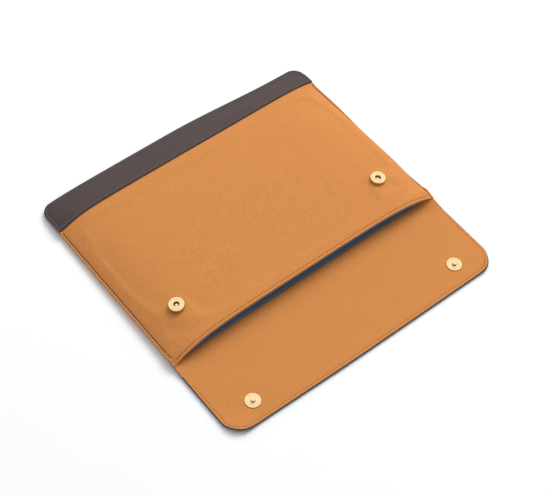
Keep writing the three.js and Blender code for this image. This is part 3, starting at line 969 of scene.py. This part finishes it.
def strip_face(x, y):
    """The front strip's outer surface: a groove under the stitches and a soft bead along the edge."""
    inside = strip_outline.distance(x, y)
    groove = STRIP_GROOVE * bump_line(inside - STITCH_INSET, STRIP_GROOVE_WIDTH)
    return strip_top(x, y) - groove + STRIP_BEAD * bump_line(inside - STITCH_INSET / 2, STRIP_BEAD_WIDTH)


front_strip = sheet_at("base_strip_front_leather", strip_outline, lambda x, y: strip_face(x, y) - SKIN,
                       strip_face, [leather, paint_dark], painted=1.2, **strip_grid)
back_strip = sheet_at("base_strip_back_leather", strip_outline, underside,
                      lambda x, y: underside(x, y) + SKIN, [leather, paint_dark], painted=0.5, **strip_grid)

# The cover and the facing each run on over the fold: one piece spans the lower fold, from the pocket to the
# middle of the spine, and the next spans the upper fold and the flap. They meet in the middle of the spine.
cover_near = Outline(SPINE_MIDDLE, COVER_LAP)
cover_far = Outline(FLAP_END, SPINE_MIDDLE, corner=FLAP_CORNER, round_end=False)
facing_near = Outline(SPINE_MIDDLE, FACING_DEPTH)
facing_far = Outline(FLAP_END + FACING_INSET, SPINE_MIDDLE, HALF - FACING_INSET,
                     corner=FLAP_CORNER - FACING_INSET, round_end=False)
BEND_REACH = 16
BEND_END = 6
BEND_STEP = 0.8
bend_lines = tuple(np.arange(SPINE_MIDDLE - BEND_REACH, BEND_END, BEND_STEP))

cover_a = sheet_at("cover_near_leather", cover_near, cover_bottom, cover_top, [leather, paint], painted=0.5,
                   open_start=True, extra_y=bend_lines)
cover_b = sheet_at("cover_far_leather", cover_far, cover_bottom, cover_top, [leather, paint], painted=0.5,
                   open_end=True, extra_y=bend_lines)
facing_a = sheet_at("facing_near_cloth", facing_near, facing_bottom, facing_top, [tan],
                    open_start=True, extra_y=bend_lines)
facing_b = sheet_at("facing_far_cloth", facing_far, facing_bottom, facing_top, [tan, paint_dark],
                    painted=0.8, open_end=True, extra_y=bend_lines, extra_x=FACING_COLUMNS)

# Painted edges between the layers. The section is outward distance, and height as a share of the rim's.
EDGE_SECTION = [(-1.6, 0), (-0.3, 0), (-0.1, 0.25), (-0.1, 0.75), (-0.3, 1), (-1.6, 1)]


def edge_band(name, path, outward, low, high):
    """Fills the rim between the surfaces low and high with edge paint."""
    rim = [(px, py, float(low(px, py))) for px, py in path]
    heights = [float(high(px, py) - low(px, py)) for px, py in path]
    tall = max(heights)
    made = sweep(name, rim, outward, [(o, h * tall) for o, h in EDGE_SECTION], [paint])
    size = len(EDGE_SECTION)
    for k, (rim_point, rim_height) in enumerate(zip(rim, heights)):
        for m in range(size):
            vertex = made.data.vertices[k * size + m]
            vertex.co.z = (rim_point[2] + EDGE_SECTION[m][1] * rim_height) * MM
    return made


FLAP_RIM_LAP = 0.15
BASE_RIM_LAP = 0.3
flap_rim, flap_out = u_path(SPINE_MIDDLE, FLAP_END, FLAP_CORNER, 0)
flap_band = edge_band("flap_edge_band", flap_rim, flap_out, lambda x, y: cover_top(x, y) - FLAP_RIM_LAP,
                      lambda x, y: facing_bottom(x, y) + FLAP_RIM_LAP)
base_rim, base_out = u_path(STRIP_EDGE + 1, POCKET_LENGTH, BASE_CORNER, 0)
base_band = edge_band("base_edge_band", base_rim, base_out,
                      lambda x, y: underside(x, y) + SKIN - BASE_RIM_LAP,
                      lambda x, y: strip_face(x, y) - SKIN + BASE_RIM_LAP)

# ---- Stitching ----
SIDES = (("left", -1), ("right", 1))
SEAM_LINE = np.linspace(11, STRIP_EDGE - 3, 80)
CORNER_LINE = np.linspace(3.2, 10, 8)
CORNER_OFFSET = 0.3
HEM_LINE = np.linspace(-168, 168, 200)
BORDER_LINE = np.linspace(-SEAM_X + 2, SEAM_X - 2, 160)
# The second material in each pair is the painted shade in the needle holes
ON_TAN = [tan_thread, tan_hole_painted_shade]
ON_LEATHER = [grey_thread, leather_hole_painted_shade]
SADDLE_STITCH = {"pitch": 2.8, "width": 0.75, "slant": 20, "share": 0.5}
UNDER_STITCH = {"pitch": 3.2, "width": 0.55, "hole": 0.4, "down": True}
FLAP_PITCH = 3.5

# The side seams' near-continuous dark line is partly the thread and partly painted shade of the crease
# beside it
seam_stitches = []
for side, sign in SIDES:
    line = [(sign * SEAM_THREAD, v) for v in SEAM_LINE]
    seam_stitches.append(stitches(f"side_seam_stitches_{side}", line, front_height, [brown_thread, tan_hole_painted_shade],
                                  pitch=3.6, width=0.93 - 0.12 * sign, share=0.97))
corner_lines = []
for side, sign in SIDES:
    line = [(sign * (SEAM_THREAD + CORNER_OFFSET), v) for v in CORNER_LINE]
    corner_lines.append(stitches(f"corner_stitches_{side}", line, front_height, ON_TAN, pitch=3.0))
hem_line = [(u, float(mouth_y(u)) + HEM_INSET) for u in HEM_LINE]
hem_stitches = stitches("mouth_hem_stitches", hem_line, front_height, ON_TAN, pitch=3.5, hole=0.85,
                        share=0.5)
border_line = [(u, STRIP_EDGE + STITCH_INSET) for u in BORDER_LINE]
border_stitches = stitches("base_border_stitches", border_line, strip_face, ON_LEATHER, hole=1.15,
                           **SADDLE_STITCH)
rim_path, _ = u_path(STRIP_EDGE + 3, POCKET_LENGTH, BASE_CORNER, STITCH_INSET)
rim_stitches = stitches("base_edge_stitches", rim_path, strip_face, ON_LEATHER, hole=1.2, **SADDLE_STITCH)
flap_path, _ = u_path(UPPER_FOLD - 3, FLAP_END, FLAP_CORNER, HEM_INSET)
flap_stitches = stitches("flap_edge_stitches", flap_path, facing_top, ON_TAN, FLAP_PITCH, width=0.5,
                         hole=0.55, share=0.5)
under_stitches = stitches("flap_cover_stitches", flap_path, cover_bottom, ON_LEATHER,
                          **{**UNDER_STITCH, "pitch": FLAP_PITCH})
band_line = [(u, COVER_LAP - STITCH_INSET) for u in BORDER_LINE]
band_stitches = stitches("back_cover_stitches", band_line, cover_bottom, ON_LEATHER, **UNDER_STITCH)
back_rim_stitches = stitches("base_back_edge_stitches", rim_path, underside, ON_LEATHER, **UNDER_STITCH)
back_border_stitches = stitches("base_back_border_stitches", border_line, underside, ON_LEATHER,
                                **UNDER_STITCH)

# ---- Snaps ----
# Heights are above the panel for a socket, which CAP_RAISE lifts as a whole, and above the ground for a stud
SOCKET_REST = 0.45
SOCKET_HEIGHT = 3.4
CAP_TOP = SOCKET_REST + SOCKET_HEIGHT
CAP_RAISE = 0.7
CAP_WALL = 0.7
CAP_ROUND = 0.4
HOLE = 3.0
HOLE_ROUND = 0.5
RIVET_DEPTH = 3.0
RIVET_HEIGHT = 1.2
RIVET_HEAD = 2.2
RIVET_ROUND = 0.6
SHANK = 1.4
MAGNET_HOLE = 4.0
MAGNET_RADIUS = SNAP_RADIUS - 1.0
MAGNET_TOP = CAP_TOP - 1.0
WASHER_HOLE = 1.7
WASHER_RADIUS = 7.0
WASHER_LEVELS = (-2.35, -1.85)
STUD_START = 1.5
STUD_REST = 3.6
STUD_FACE = STUD_REST + 0.6
STUD_TIP = node_box("stud_left")[1][2]
STUD_INSET = 0.1
STUD_ROUND = 0.3
POST = 2.4
POST_ROUND = 0.35
POST_FLARE = 0.1
POST_FOOT = 0.4
TIP_DOME = 0.05
GROOVE_SHARES = (0.73, 0.7, 0.67)
GROOVE_DEPTH = 0.08


def turned_groove(height):
    """A fine ring turned into a snap's flat face."""
    outer, middle, inner = (SNAP_RADIUS * share for share in GROOVE_SHARES)
    return [(outer, height), (middle, height - GROOVE_DEPTH), (inner, height)]


def tube(inner, outer, low, high):
    return [(inner, low), (outer, low), (outer, high), (inner, high)]


CAP_PROFILE = [
    (HOLE + CAP_WALL, SOCKET_REST), (HOLE + CAP_WALL, CAP_TOP - CAP_WALL),
    (SNAP_RADIUS - CAP_WALL, CAP_TOP - CAP_WALL), (SNAP_RADIUS - CAP_WALL, SOCKET_REST),
    (SNAP_RADIUS, SOCKET_REST),
    *fillet(SNAP_RADIUS - CAP_ROUND, CAP_TOP - CAP_ROUND, CAP_ROUND, 0, 90),
    *turned_groove(CAP_TOP),
    *fillet(HOLE + HOLE_ROUND, CAP_TOP - HOLE_ROUND, HOLE_ROUND, 90, 180),
    (HOLE, SOCKET_REST),
]
RIVET_PROFILE = [
    (0, -RIVET_DEPTH), (SHANK, -RIVET_DEPTH), (SHANK, SOCKET_REST), (RIVET_HEAD, SOCKET_REST),
    *fillet(RIVET_HEAD - RIVET_ROUND, SOCKET_REST + RIVET_HEIGHT - RIVET_ROUND, RIVET_ROUND, 0, 90),
    (0, SOCKET_REST + RIVET_HEIGHT),
]
STUD_PROFILE = [
    (0, STUD_START), (SHANK, STUD_START), (SHANK, STUD_REST), (SNAP_RADIUS - STUD_INSET, STUD_REST),
    *fillet(SNAP_RADIUS - STUD_ROUND, STUD_FACE - STUD_ROUND, STUD_ROUND, -20, 90),
    *turned_groove(STUD_FACE),
    (POST + POST_FLARE, STUD_FACE), (POST + POST_FLARE / 2, STUD_FACE + POST_FLARE),
    (POST, STUD_FACE + POST_FOOT),
    *fillet(POST - POST_ROUND, STUD_TIP - POST_ROUND, POST_ROUND, 0, 90), (0, STUD_TIP + TIP_DOME),
]
MAGNET_PROFILE = tube(MAGNET_HOLE, MAGNET_RADIUS, SOCKET_REST, MAGNET_TOP)
WASHER_PROFILE = tube(WASHER_HOLE, WASHER_RADIUS, *WASHER_LEVELS)

SOCKET_PARTS = (
    ("magnet", "ring", MAGNET_PROFILE, magnet, "magnet", 48),
    ("washer", "steel", WASHER_PROFILE, steel, "steel", 48),
    ("cap", "brass", CAP_PROFILE, brass, "brass", 72),
    ("rivet", "brass", RIVET_PROFILE, brass, "brass", 32),
)

for side, _ in SIDES:
    cap_centre = centre_of(f"socket_cap_{side}")
    slope = surface_normal(lambda x, y: float(topside(x, y)), cap_centre[0], cap_centre[1])
    base = cap_centre - slope * (SOCKET_REST + SOCKET_HEIGHT / 2 - CAP_RAISE)
    normal = slope + np.array([0, 0, 1.0])
    for kind, ending, profile, material, slot, segments in SOCKET_PARTS:
        part = lathe(f"socket_{kind}_{side}_{ending}", profile, base, normal, [material], segments)
        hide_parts(f"socket_{kind}_{side}")
        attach(part, "root")
    stud_x, stud_y = centre_of(f"stud_{side}")[:2]
    stud = lathe(f"stud_{side}_brass", STUD_PROFILE, (stud_x, stud_y, 0), (0, 0, 1), [brass])
    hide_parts(f"stud_{side}")
    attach(stud, "flap")

# ---- CAD nodes that stay ----
for node, material in (("stud_washer_left", steel), ("stud_washer_right", steel), ("flap_stiffener", board)):
    kept = frame["nodes"][node].data
    kept.materials.clear()
    kept.materials.append(material)

# ---- What each piece stands for, and what the RIDING_PIECES ride on ----
RIDING_PIECES = {
    "root": [
        (front_panel, "tan_fabric", ["front_panel"]),
        (back_panel, "tan_fabric", ["back_panel"]),
        (front_pad, "foam", ["front_padding"]),
        (back_pad, "foam", ["back_padding"]),
        (front_lining, "lining_cloth", ["front_lining"]),
        (back_lining, "lining_cloth", ["back_lining"]),
        (front_strip, "dark_leather", ["base_strip_front"]),
        (back_strip, "dark_leather", ["base_strip_back"]),
        (base_band, "dark_leather", []),
        (seam_stitches[0], "brown_thread", ["side_seam_thread_left"]),
        (seam_stitches[1], "brown_thread", ["side_seam_thread_right"]),
        (corner_lines[0], "tan_thread", []),
        (corner_lines[1], "tan_thread", []),
        (hem_stitches, "tan_thread", ["mouth_hem_thread"]),
        (border_stitches, "brown_thread", ["base_border_thread"]),
        (rim_stitches, "brown_thread", ["base_edge_thread"]),
        (back_rim_stitches, "brown_thread", []),
        (back_border_stitches, "brown_thread", []),
        (band_stitches, "brown_thread", []),
    ],
    "flap": [
        (flap_stitches, "tan_thread", ["flap_edge_thread"]),
        (under_stitches, "brown_thread", []),
    ],
}
for body, pieces in RIDING_PIECES.items():
    for piece, slot, nodes in pieces:
        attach(piece, body)
        if nodes:
            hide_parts(*nodes)


LOWER_BEND = (2, -6)
UPPER_BEND = (UPPER_FOLD + 6, UPPER_FOLD - 2)
for piece, slot, nodes, bodies, bend in (
    (cover_a, "dark_leather", ["back_cover_band"], ("root", "spine"), LOWER_BEND),
    (facing_a, "tan_fabric", ["mouth_facing"], ("root", "spine"), LOWER_BEND),
    (cover_b, "dark_leather", ["flap_cover", "spine_cover"], ("spine", "flap"), UPPER_BEND),
    (facing_b, "tan_fabric", ["flap_facing", "spine_facing"], ("spine", "flap"), UPPER_BEND),
    (flap_band, "dark_leather", [], ("spine", "flap"), UPPER_BEND),
):
    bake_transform(piece)
    if nodes:
        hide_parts(*nodes)

# ---- Floor, light and camera ----
FLOOR_SIZE = 8
FLOOR_LEVEL = -0.0002
ORIGIN = (0, 0, 0)

floor_material = surface("white floor", (0.965, 0.965, 0.965), 0.9, 60, 0.004, 0.01, specular=0.1)
bpy.ops.mesh.primitive_plane_add(size=FLOOR_SIZE)
floor = bpy.context.object
floor.name = "floor"
floor.location.z = FLOOR_LEVEL
floor.data.materials.append(floor_material)

scene = bpy.context.scene
scene.view_settings.view_transform = "Standard"
world = bpy.data.worlds.new("studio")
world.use_nodes = True
background = world.node_tree.nodes["Background"]
background.inputs["Color"].default_value = (0.97, 0.985, 1, 1)
background.inputs["Strength"].default_value = 0.52
scene.world = world


def softbox(name, spot, target, size, power):
    lamp = bpy.data.lights.new(name, "AREA")
    lamp.shape = "DISK"
    lamp.size = size
    lamp.energy = power
    made = bpy.data.objects.new(name, lamp)
    scene.collection.objects.link(made)
    made.location = spot
    made.rotation_euler = (Vector(target) - Vector(spot)).to_track_quat("-Z", "Y").to_euler()
    return made


key = softbox("key", spot=(2.6, 0.9, 2.5), target=ORIGIN, size=2.4, power=88)
key.visible_glossy = False
softbox("overhead", spot=(1.66, 1.9, 3.6), target=ORIGIN, size=5, power=58)


def aim_camera(azimuth, elevation, roll, distance, target, lens):
    """A camera that looks back at target from an azimuth and elevation in degrees, turned by roll."""
    a, e, r = (math.radians(v) for v in (azimuth, elevation, roll))
    back = Vector((math.sin(a) * math.cos(e), -math.cos(a) * math.cos(e), math.sin(e)))
    right = Vector((0, 0, 1)).cross(back).normalized()
    up = back.cross(right)
    right, up = math.cos(r) * right + math.sin(r) * up, math.cos(r) * up - math.sin(r) * right
    data = bpy.data.cameras.new("camera")
    data.lens = lens
    data.sensor_width = 36
    data.dof.use_dof = False
    made = bpy.data.objects.new("camera", data)
    scene.collection.objects.link(made)
    spot = Vector(target) + back * distance
    made.matrix_world = Matrix.Translation(spot) @ Matrix((right, up, back)).transposed().to_4x4()
    scene.camera = made


aim_camera(azimuth=-41.22, elevation=55.05, roll=3.465, distance=1.5233, target=(-0.0015, -0.0167, 0),
           lens=93.69)
